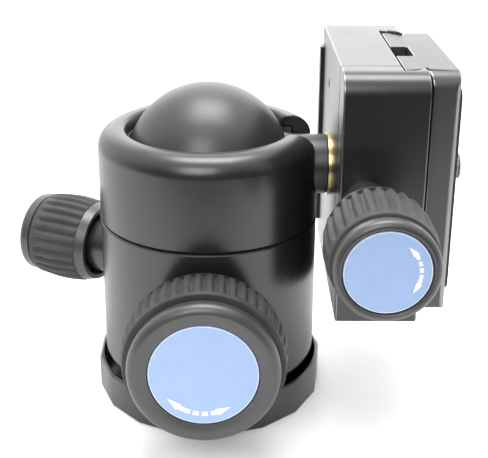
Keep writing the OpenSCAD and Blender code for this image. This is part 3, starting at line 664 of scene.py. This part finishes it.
class BALLHEAD_OT_clamp(bpy.types.Operator):
    """Model the clamp's base and its moving jaw as one block that is split"""

    bl_idname = "ballhead.clamp"
    bl_label = "Clamp and jaw"

    edge_share = 1.3
    upper_round = 4.5 * MM
    other_round = 0.8 * MM
    channel_depth = 4.8 * MM
    channel_land = 1.95 * MM
    channel_half = 19.12 * MM
    washer_gap = 0.03 * MM
    past = 2.0 * MM
    fixing_head_rim = 1.98 * MM
    fixing_head_room = 0.15 * MM
    fixing_head_depth = 5.8 * MM
    screw_bore = 2.55 * MM
    screw_bore_root = 6.0 * MM
    guide_spread = 17.0 * MM
    guide_bore = 2.02 * MM
    guide_bore_root = 2.0 * MM
    spring_spread = 10.0 * MM
    spring_bore = 2.6 * MM
    spring_depth = 8.0 * MM
    back_hole = 1.3 * MM
    back_hole_depth = 3.0 * MM
    back_hole_at = (6.5 * MM, 16.6 * MM)
    rib_sides = (3.9 * MM, 0.5 * MM)
    rib_end = 4.5 * MM
    rib_edge_share = 0.6
    boss_height = 4.5 * MM
    boss_radius = 5.1 * MM
    jaw_guide_bore = 2.05 * MM
    jaw_guide_wall = 1.5 * MM

    def execute(self, context):
        base_low, base_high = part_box("clamp_base")
        jaw_low, jaw_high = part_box("movable_jaw")
        back, near = jaw_low.x + self.washer_gap, jaw_low.y + self.boss_height
        self.low = Vector((back, near, base_low.z))
        self.high = Vector((jaw_high.x, base_high.y, base_high.z))
        self.middle = middle(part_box("quick_release_plate")).y
        self.knob = knobs()[2]
        self.floor = self.high.x - self.channel_depth
        edge = sizes().edge_round * self.edge_share
        self.base(base_low, (base_low.z + base_high.z) / 2, edge)
        self.jaw(-jaw_low.y, jaw_high.y, edge)
        return {"FINISHED"}

    def blank(self, near, far):
        """The part of the clamp's block between two places in Y, with the channel cut."""
        piece = block(self.low, self.high)
        round_ends(piece, (("near", "upper", self.upper_round), ("near", "lower", self.other_round),
                           ("far", "upper", self.other_round), ("far", "lower", self.other_round)))
        below, above = self.low.z - self.past, self.high.z + self.past
        front = self.high.x + self.past
        carve(piece, block((self.low.x - self.past, near, below), (front, far, above)), "INTERSECT")
        lip = self.channel_half - (self.channel_depth - self.channel_land)
        sections = ((self.floor, self.channel_half), (self.floor + self.channel_land, self.channel_half),
                    (self.high.x, lip), (front, lip))
        carve(piece, drawn(sections, below, above, self.middle))
        return piece

    def along_knob(self, radius, start, end, rise=0.0, steps=96):
        """A round bar along the knob's axis, or beside it."""
        return rod(radius, start, end, self.knob.turn, self.knob.seat + Vector((0, 0, rise)), steps)

    def base(self, base_low, stem_z, edge):
        piece = self.blank(base_low.y, self.high.y + self.past)
        piece.name = piece.data.name = "clamp_back"
        back, front = self.low.x - self.past, self.floor + self.past
        seat = Vector((0, 0, stem_z))
        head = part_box("clamp_fixing_screw")[1].y
        carve(piece, rod(head - self.fixing_head_rim, back, front, ALONG_X, seat))
        head_floor = self.floor - self.fixing_head_depth
        carve(piece, rod(head + self.fixing_head_room, head_floor, front, ALONG_X, seat))
        split = -base_low.y
        carve(piece, self.along_knob(self.screw_bore, self.screw_bore_root, split + self.past))
        for side in (-1, 1):
            carve(piece, self.along_knob(self.guide_bore, self.guide_bore_root, split + self.past,
                                         side * self.guide_spread, steps=48))
            carve(piece, self.along_knob(self.spring_bore, split - self.spring_depth, split + self.past,
                                         side * self.spring_spread, steps=48))
        hole_seat = seat + Vector((0, *self.back_hole_at))
        hole_end = self.low.x + self.back_hole_depth
        carve(piece, rod(self.back_hole, back, hole_end, ALONG_X, hole_seat, steps=48))
        rib_near, rib_far = (self.high.y - side for side in self.rib_sides)
        rib = block((base_low.x, rib_near, self.low.z + self.rib_end),
                    (self.low.x + self.past, rib_far, self.high.z - self.rib_end))
        ease(rib, edge * self.rib_edge_share)
        ease(piece, edge)
        join(piece, rib)
        dress(piece, "black_anodised", "clamp", ("clamp_base",))

    def jaw(self, boss_end, split, edge):
        piece = self.blank(self.low.y - self.past, split)
        piece.name = piece.data.name = "clamp_jaw"
        inside = -split - self.past
        boss = self.along_knob(self.boss_radius, self.past - split, boss_end)
        for solid in (boss, piece):
            carve(solid, self.along_knob(self.screw_bore, inside, boss_end + self.past))
        for side in (-1, 1):
            carve(piece, self.along_knob(self.jaw_guide_bore, inside, -self.low.y - self.jaw_guide_wall,
                                         side * self.guide_spread, steps=48))
        ease(piece, edge)
        join(piece, boss)
        dress(piece, "black_anodised", "jaw", ("movable_jaw",))


class BALLHEAD_OT_plate(bpy.types.Operator):
    """Model the quick-release plate with its dovetail, channel and screw hole"""

    bl_idname = "ballhead.plate"
    bl_label = "Camera plate"

    edge_share = 1.2
    foot = 0.5 * MM
    land = 1.3 * MM
    run = 2.9 * MM
    shelf = 4.65 * MM
    wing = 0.8 * MM
    bevel = 0.8 * MM
    end_radii = (("near", "upper", 3.6 * MM), ("near", "lower", 1.6 * MM),
                 ("far", "upper", 0.8 * MM), ("far", "lower", 1.6 * MM))
    slot_half = 4.4 * MM
    slot_depth = 3.7 * MM
    screw_hole = 3.225 * MM
    past = 2.0 * MM
    # what the X part of a normal lies between on the upper bevels, which slant by 45 degrees
    slant = (0.6, 0.8)

    def execute(self, context):
        low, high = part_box("quick_release_plate")
        half, centre = (high.y - low.y) / 2, (high.y + low.y) / 2
        back, front = low.x - self.past, high.x + self.past
        waist = half - self.run
        sections = (
            (low.x, half - self.foot), (low.x + self.foot, half), (low.x + self.land, half),
            (low.x + self.land + self.run, waist), (low.x + self.shelf, waist),
            (low.x + self.shelf + self.wing, half), (high.x - self.bevel, half),
            (high.x, half - self.bevel),
        )
        piece = drawn(sections, low.z, high.z, centre)
        piece.name = piece.data.name = "camera_plate"
        ends = block((back, low.y, low.z), (front, high.y, high.z))
        round_ends(ends, self.end_radii)
        carve(piece, ends, "INTERSECT")
        carve(piece, block((back, centre - self.slot_half, low.z - self.past),
                           (low.x + self.slot_depth, centre + self.slot_half, high.z + self.past)))
        screw_z = middle(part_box("camera_screw")).z
        carve(piece, rod(self.screw_hole, back, front, ALONG_X, (0, centre, screw_z)))
        ease(piece, sizes().edge_round * self.edge_share)
        # the bevels that slant at the plate's upper end also take the lighter finish of the painted edge
        # highlight
        for face in piece.data.polygons:
            slanted = self.slant[0] < face.normal.x < self.slant[1] and abs(face.normal.y) > self.slant[0]
            if slanted and face.center.x > high.x - self.bevel:
                face.material_index = 1
        dress(piece, "plate_anodised", "plate", ("quick_release_plate",))
        return {"FINISHED"}


class BALLHEAD_OT_camera_screw(bpy.types.Operator):
    """Turn the plate's camera screw with its thread and cut its slot"""

    bl_idname = "ballhead.camera_screw"
    bl_label = "Camera screw"

    crest = 3.175 * MM
    thread_depth = 0.6 * MM
    pitch = 1.27 * MM
    ridges = 3
    thread_length = 4.5 * MM
    head_height = 3.2 * MM
    chamfer = 0.25 * MM
    slot_half = 0.6 * MM
    slot_depth = 1.2 * MM
    past = 1.0 * MM

    def execute(self, context):
        low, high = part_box("camera_screw")
        centre = (low + high) / 2
        head = half_height((low, high))
        root = self.crest - self.thread_depth
        tip = high.x - low.x
        flat = self.pitch / 16
        outline = [(head - self.chamfer, 0), (head, self.chamfer), (head, self.head_height - self.chamfer),
                   (head - self.chamfer, self.head_height), (root, self.head_height)]
        for ridge in range(self.ridges):
            start = tip - self.thread_length + ridge * self.pitch
            outline += [(root, start + flat), (self.crest, start + self.pitch / 2 - flat),
                        (self.crest, start + self.pitch / 2 + flat), (root, start + self.pitch - flat)]
        outline += [(self.crest - self.chamfer, tip - self.chamfer), (root, tip)]
        piece = turned("camera_screw_threaded", outline, steps=72)
        place(piece, ALONG_X, (low.x, centre.y, centre.z))
        carve(piece, block((low.x - self.past, low.y - self.past, centre.z - self.slot_half),
                           (low.x + self.slot_depth, high.y + self.past, centre.z + self.slot_half)))
        dress(piece, "steel_part", "camera_screw", ("camera_screw",))
        return {"FINISHED"}


class BALLHEAD_OT_ball(bpy.types.Operator):
    """Turn the ball and its stem in one piece"""

    bl_idname = "ballhead.ball"
    bl_label = "Ball and stem"

    # the flat at the ball's pole, in degrees
    pole_gap = 0.5
    washer_overlap = 0.35 * MM
    root_swell = 0.45 * MM
    # how far the stem's root stands out, and how high above the ball
    root_steps = ((0.32 * MM, 0.5 * MM), (0.14 * MM, 1.3 * MM), (0.0, 2.6 * MM))
    chamfer = 0.3 * MM

    def execute(self, context):
        low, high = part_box("ball_and_stem")
        radius = half_height((low, high))
        centre = Vector((low.x + radius, 0, (low.z + high.z) / 2))
        stem = half_height(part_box("stem_washer")) - self.washer_overlap
        stem_end = high.x - centre.x
        meet = math.degrees(math.asin((stem + self.root_swell) / radius))
        outline = arc(0, 0, radius, self.pole_gap - 90, 90 - meet, steps=64)
        root_height = outline[-1][1]
        outline += [(stem + swell, root_height + rise) for swell, rise in self.root_steps]
        outline += [(stem, stem_end - self.chamfer), (stem - self.chamfer, stem_end)]
        piece = turned("ball_with_stem", outline)
        place(piece, ALONG_X, centre)
        dress(piece, "ball_black", "ball", ("ball_and_stem",), smooth=50.0)
        return {"FINISHED"}


class BALLHEAD_OT_grips(bpy.types.Operator):
    """Model the ribbed rubber grips and seat them in the knobs"""

    bl_idname = "ballhead.grips"
    bl_label = "Ribbed grips"

    faces_per_rib = 8
    rings = 12
    ring_crowding = 1.6
    crown = 0.6 * MM
    # a place between two ribs, 0 in the groove's middle and 1 on the rib, and the groove's depth there
    groove = ((0.0, 1.0), (0.25, 0.86), (0.5, 0.30), (0.75, 0.06))
    # shares of the grip's length at its front
    plain_front = 0.06
    fade = 0.12
    wall = 2.1 * MM
    shoulder = 0.35 * MM
    lips = (-0.12 * MM, 0.18 * MM)
    near = 1e-5
    phase_near = 0.05

    def execute(self, context):
        seat_in_knobs("grip", "_ribbed_grip", self.grip, "knob_rubber", smooth=50.0)
        return {"FINISHED"}

    def grip(self, knob):
        """An open tube that is cut into rings, crowned, grooved and then closed inwards."""
        low, high = knob.ends("grip")
        length, outer, ribs = high - low, knob.radius("grip"), knob.shape["ribs"]
        deselect_all()
        bpy.ops.mesh.primitive_cylinder_add(vertices=ribs * self.faces_per_rib, radius=outer, depth=length,
                                            end_fill_type="NOTHING", location=(0, 0, length / 2))
        piece = settle()
        # the rings lie closer together near the front, where the grooves fade out
        shares = [1 - (1 - ring / self.rings) ** self.ring_crowding for ring in range(self.rings + 1)]
        bpy.ops.object.mode_set(mode="EDIT")
        for share in shares[1:-1]:
            bpy.ops.mesh.select_all(action="SELECT")
            bpy.ops.mesh.bisect(plane_co=(0, 0, length * share), plane_no=(0, 0, 1))
        for share in shares:
            self.select_ring(piece, length * share)
            widen(1 - self.crown * (share * 2 - 1) ** 2 / outer, length * share)
        for phase, depth in self.groove:
            for share in shares:
                fading = min(1.0, (1 - share - self.plain_front) / self.fade)
                if fading > 0:
                    self.select_ring(piece, length * share, phase, 2 * math.pi / ribs)
                    widen(1 - sizes().rib_height * depth * fading / outer, length * share)
        self.close_ends(piece, length, outer)
        return piece

    def select_ring(self, piece, height, phase=None, pitch=1.0):
        """Selects a ring of vertices, or those of its vertices that lie at one place between two ribs."""
        def fits(co):
            turns = math.atan2(co.y, co.x) / pitch
            own_phase = abs((turns + 0.5) % 1.0 - 0.5) * 2
            level = abs(co.z - height) < self.near
            return level and (phase is None or abs(own_phase - phase) < self.phase_near)

        select_where(piece, fits)

    def close_ends(self, piece, length, outer):
        """Rolls both rims inwards to the hub and joins them by the inner wall."""
        rim = outer - self.crown
        for height, lip in zip((0, length), self.lips):
            self.select_ring(piece, height)
            bpy.ops.mesh.extrude_edges_move(TRANSFORM_OT_translate={"value": (0, 0, 0)})
            widen((rim - self.shoulder) / rim, height)
            bpy.ops.transform.translate(value=(0, 0, lip))
            bpy.ops.mesh.extrude_edges_move(TRANSFORM_OT_translate={"value": (0, 0, 0)})
            widen((outer - self.wall) / rim, height)
        bpy.ops.mesh.select_mode(type="EDGE")
        bpy.ops.mesh.select_all(action="DESELECT")
        bpy.ops.mesh.select_non_manifold()
        bpy.ops.mesh.bridge_edge_loops()
        close_edit()


class BALLHEAD_OT_caps(bpy.types.Operator):
    """Turn the metal caps, with rounded rims and dishes, and seat them in the knobs"""

    bl_idname = "ballhead.caps"
    bl_label = "Knob caps"

    # how far in from the cap's radius, and how high above its inner end
    foot = ((0.9 * MM, 0.0), (0.35 * MM, 0.08 * MM), (0.1 * MM, 0.3 * MM))
    dish_edge = 0.32 * MM
    dish_lift = 0.02 * MM
    # how far across the dish, and how deep in it, both as shares
    dish_run = ((1 / 3, 0.16), (2 / 3, 0.5))
    groove_edge = 0.24 * MM
    groove_width = 0.18 * MM
    groove_chamfer = 0.1 * MM

    def execute(self, context):
        seat_in_knobs("cap", "_turned_cap", self.cap, "knob_metal", smooth=40.0)
        return {"FINISHED"}

    def cap(self, knob):
        """The outline runs up the cap's outside, over the rim, across the dish and into the disc's seat."""
        low, high = knob.ends("cap")
        disc_low, disc_high = knob.ends("disc")
        outer, disc = knob.radius("cap"), knob.radius("disc")
        top, seat, face = high - low, disc_low - low, disc_high - low
        rim, dish = knob.shape["cap_round"], knob.shape["dish"]
        crest, edge = outer - rim, disc + self.dish_edge
        outline = [(outer - inset, height) for inset, height in self.foot]
        outline += arc(crest, top - rim, rim, 0, 90, steps=12)
        outline += [(crest + (edge - crest) * way, top - dish * fall) for way, fall in self.dish_run]
        outline += [(edge, face + self.dish_lift), (disc + self.groove_edge, face),
                    (disc + self.groove_width, face - self.groove_chamfer),
                    (disc + self.groove_width, seat)]
        return turned("cap_pattern", outline)


class BALLHEAD_OT_discs(bpy.types.Operator):
    """Make the blue discs, each with its edge line and double-headed arrow"""

    bl_idname = "ballhead.discs"
    bl_label = "Discs and marks"

    chamfer = 0.12 * MM
    # the arrow's middle and reach to either side in degrees, and its track as a share of the disc's radius
    arrows = {
        "ball_lock": (261.5, 33.0, 0.79),
        "pan_knob": (261.5, 33.0, 0.79),
        "clamp_knob": (7.5, 35.0, 0.745),
    }
    # the arrow's dashes as shares of its reach
    dashes = ((-0.90, -0.29), (-0.18, 0.07), (0.18, 0.43), (0.55, 0.87))
    # shares of the disc's radius, of that half width and of the mark's height
    half_width = 0.043
    head_size = 2.5
    head_height = 1.5
    head_shape = (0.8, 1.7)
    edge_line_inset = 0.16 * MM
    edge_line_half = 0.05 * MM

    def execute(self, context):
        seat_in_knobs("disc", "_blue_disc", self.disc, "blue_disc", smooth=30.0, then=self.mark)
        return {"FINISHED"}

    def disc(self, knob):
        low, high = knob.ends("disc")
        radius, height = knob.radius("disc"), high - low
        outline = [(radius, 0), (radius, height - self.chamfer), (radius - self.chamfer, height)]
        return turned("disc_pattern", outline)

    def mark(self, knob):
        """A broken arc with a head at either end, and a thin line round the disc's edge."""
        radius, self.height, self.top = knob.radius("disc"), knob.ends("disc")[1], sizes().mark_height
        centre, reach, share = self.arrows[knob.key]
        track, half_width = radius * share, radius * self.half_width
        parts = [self.band(track, half_width, centre + start * reach, centre + end * reach, steps=6)
                 for start, end in self.dashes]
        parts += self.heads(track, half_width * self.head_size, centre, reach)
        parts.append(self.band(radius - self.edge_line_inset, self.edge_line_half, 0.0, 360.0, steps=96))
        deselect_all()
        for part in parts:
            part.select_set(True)
        bpy.context.view_layer.objects.active = parts[0]
        bpy.ops.object.join()
        piece = bpy.context.object
        piece.name = piece.data.name = knob.key + "_arrow_mark"
        place(piece, knob.turn, knob.seat)
        dress(piece, "disc_mark", knob.body, smooth=0)

    def band(self, track, half_width, start, end, steps):
        """One dash: a small upright plane spun round the disc's centre."""
        deselect_all()
        bpy.ops.mesh.primitive_plane_add(size=1, location=(0, 0, 0))
        piece = settle(Matrix.Rotation(math.radians(start), 4, "Z")
                       @ Matrix.Translation((track, 0, self.height + self.top / 2))
                       @ Matrix.Rotation(math.radians(90), 4, "X")
                       @ Matrix.Diagonal((half_width * 2, self.top, 1, 1)))
        edit_all()
        bpy.ops.mesh.spin(steps=steps, angle=math.radians(start - end), center=(0, 0, 0), axis=(0, 0, 1))
        bpy.ops.mesh.select_all(action="SELECT")
        bpy.ops.mesh.remove_doubles(threshold=MERGE)
        close_edit()
        return piece

    def heads(self, track, size, centre, reach):
        """A three-cornered head at either end of the arc, pointing along it."""
        deselect_all()
        bpy.ops.mesh.primitive_cylinder_add(vertices=3, radius=size, depth=self.top * self.head_height,
                                            location=(0, 0, 0))
        bpy.context.object.scale = (*self.head_shape, 1)
        first = settle()
        pair = (first, twin(first))
        for piece, side in zip(pair, (-1, 1)):
            angle = math.radians(centre + side * reach)
            facing = angle if side > 0 else angle + math.pi
            at = (track * math.cos(angle), track * math.sin(angle), self.height + self.top / 2)
            place(piece, Matrix.Rotation(facing, 3, "Z"), at)
            edit_all()
            close_edit()
        return pair


class BALLHEAD_OT_stage(bpy.types.Operator):
    """Set up the white floor, the lamps and the camera"""

    bl_idname = "ballhead.stage"
    bl_label = "Stage"

    floor_front = -0.15
    floor_size = 5.0
    floor_height = -0.0002
    floor_glow = 0.10
    # which way the light tent and the window in it face, where they fade in (as the cosine of the
    # angle to that way), and how bright they are outside and inside
    tent = ((0.06, 0.80, 0.56), (-0.60, 0.50), (0.12, 1.7))
    window = ((0.0, 0.93, 0.36), (0.78, 0.97), (0.0, 1.35))
    # name, place, size and power
    lamp_rows = (
        ("soft_box_front", (-0.09, -0.52, 0.42), (0.30, 0.34), 2.2),
        ("soft_box_above", (0.01, 0.06, 0.62), (0.36, 0.30), 3.5),
    )
    lamp_aim = (0.005, 0, 0.045)
    camera_at = (0.006745, -0.20556, 0.12682)
    yaw = -0.007
    pitch = -0.343
    roll = 0.001

    def execute(self, context):
        self.floor()
        self.sky(context)
        self.lamps(context)
        self.camera(context)
        context.scene.view_settings.view_transform = "Standard"
        return {"FINISHED"}

    def floor(self):
        """White paper, which glows a little when it is seen directly or in a reflection."""
        deselect_all()
        at = (0, self.floor_front + self.floor_size / 2, self.floor_height)
        bpy.ops.mesh.primitive_plane_add(size=self.floor_size, location=at)
        piece = settle()
        piece.name = "white_floor"
        material = bpy.data.materials.new("white_paper")
        material.use_nodes = True
        tree = material.node_tree
        shader = tree.nodes["Principled BSDF"]
        shader.inputs["Base Color"].default_value = (0.8, 0.8, 0.8, 1)
        shader.inputs["Roughness"].default_value = 0.9
        shader.inputs["Specular IOR Level"].default_value = 0.1
        rays = tree.nodes.new("ShaderNodeLightPath").outputs
        seen = combined(tree, "MAXIMUM", rays["Is Camera Ray"], rays["Is Glossy Ray"])
        seen = combined(tree, "MAXIMUM", seen, rays["Is Transmission Ray"])
        glow = tree.nodes.new("ShaderNodeEmission")
        tree.links.new(ranged(tree, seen, (0, 1), (0, self.floor_glow)), glow.inputs["Strength"])
        both = tree.nodes.new("ShaderNodeAddShader")
        tree.links.new(shader.outputs["BSDF"], both.inputs[0])
        tree.links.new(glow.outputs["Emission"], both.inputs[1])
        tree.links.new(both.outputs[0], tree.nodes["Material Output"].inputs["Surface"])
        piece.data.materials.append(material)

    def glow_towards(self, tree, coords, facing, edge, light):
        """Light that comes from one side of the sky and fades out towards the rest of it."""
        towards = tree.nodes.new("ShaderNodeVectorMath")
        towards.operation = "DOT_PRODUCT"
        towards.inputs[1].default_value = Vector(facing).normalized()
        tree.links.new(coords, towards.inputs[0])
        return ranged(tree, towards.outputs["Value"], edge, light, "SMOOTHSTEP")

    def sky(self, context):
        """White to the camera; the rest sees a white tent that is open, and dark, on the camera's side."""
        world = bpy.data.worlds.new("white_studio")
        context.scene.world = world
        world.use_nodes = True
        tree = world.node_tree
        coords = tree.nodes.new("ShaderNodeTexCoord").outputs["Generated"]
        light = combined(tree, "ADD", self.glow_towards(tree, coords, *self.tent),
                         self.glow_towards(tree, coords, *self.window))
        rays = tree.nodes.new("ShaderNodeLightPath").outputs
        seen = tree.nodes.new("ShaderNodeMix")
        tree.links.new(rays["Is Camera Ray"], seen.inputs["Factor"])
        tree.links.new(light, seen.inputs["A"])
        seen.inputs["B"].default_value = 1.0
        background = tree.nodes["Background"]
        tree.links.new(seen.outputs["Result"], background.inputs["Strength"])
        background.inputs["Color"].default_value = (1, 1, 1, 1)

    def lamps(self, context):
        for name, at, size, power in self.lamp_rows:
            lamp = bpy.data.lights.new(name, "AREA")
            lamp.shape = "RECTANGLE"
            lamp.size, lamp.size_y = size
            lamp.energy = power
            holder = bpy.data.objects.new(name, lamp)
            context.scene.collection.objects.link(holder)
            holder.location = at
            aim = Vector(self.lamp_aim) - Vector(at)
            holder.rotation_euler = aim.to_track_quat("-Z", "Y").to_euler()

    def camera(self, context):
        camera = bpy.data.cameras.new("photo_camera")
        camera.sensor_width = 36.0
        camera.lens = 71.8
        camera.shift_x = 0.0248
        camera.shift_y = -0.1326
        camera.clip_start, camera.clip_end = 0.01, 20.0
        holder = bpy.data.objects.new("photo_camera", camera)
        context.scene.collection.objects.link(holder)
        holder.location = self.camera_at
        level = math.cos(self.pitch)
        forward = Vector((math.sin(self.yaw) * level, math.cos(self.yaw) * level, math.sin(self.pitch)))
        turn = forward.to_track_quat("-Z", "Y").to_matrix() @ Matrix.Rotation(self.roll, 3, "Z")
        holder.rotation_euler = turn.to_euler()
        context.scene.camera = holder


class BALLHEAD_PT_panel(bpy.types.Panel):
    """Lists the pieces of the ball head in the sidebar"""

    bl_label = "Ball head"
    bl_idname = "BALLHEAD_PT_panel"
    bl_space_type = "VIEW_3D"
    bl_region_type = "UI"
    bl_category = "Ball head"

    def draw(self, context):
        layout = self.layout
        for group in (context.scene.ball_head_sizes, context.scene.ball_head_colours):
            box = layout.box()
            for prop in group.__annotations__:
                box.prop(group, prop)
        for operator in OPERATORS:
            layout.operator(operator.bl_idname)


OPERATORS = (
    BALLHEAD_OT_finishes,
    BALLHEAD_OT_machined,
    BALLHEAD_OT_barrel,
    BALLHEAD_OT_clamp,
    BALLHEAD_OT_plate,
    BALLHEAD_OT_camera_screw,
    BALLHEAD_OT_ball,
    BALLHEAD_OT_grips,
    BALLHEAD_OT_caps,
    BALLHEAD_OT_discs,
    BALLHEAD_OT_stage,
)
CLASSES = (BallHeadSizes, BallHeadColours, *OPERATORS, BALLHEAD_PT_panel)


def register():
    for cls in CLASSES:
        bpy.utils.register_class(cls)
    bpy.types.Scene.ball_head_sizes = PointerProperty(type=BallHeadSizes)
    bpy.types.Scene.ball_head_colours = PointerProperty(type=BallHeadColours)


def unregister():
    del bpy.types.Scene.ball_head_colours
    del bpy.types.Scene.ball_head_sizes
    for cls in reversed(CLASSES):
        bpy.utils.unregister_class(cls)


def main():
    register()
    bpy.ops.ballhead.finishes()
    bpy.ops.ballhead.machined()
    bpy.ops.ballhead.barrel()
    bpy.ops.ballhead.clamp()
    bpy.ops.ballhead.plate()
    bpy.ops.ballhead.camera_screw()
    bpy.ops.ballhead.ball()
    bpy.ops.ballhead.grips()
    bpy.ops.ballhead.caps()
    bpy.ops.ballhead.discs()
    bpy.ops.ballhead.stage()


if __name__ == "__main__":
    main()
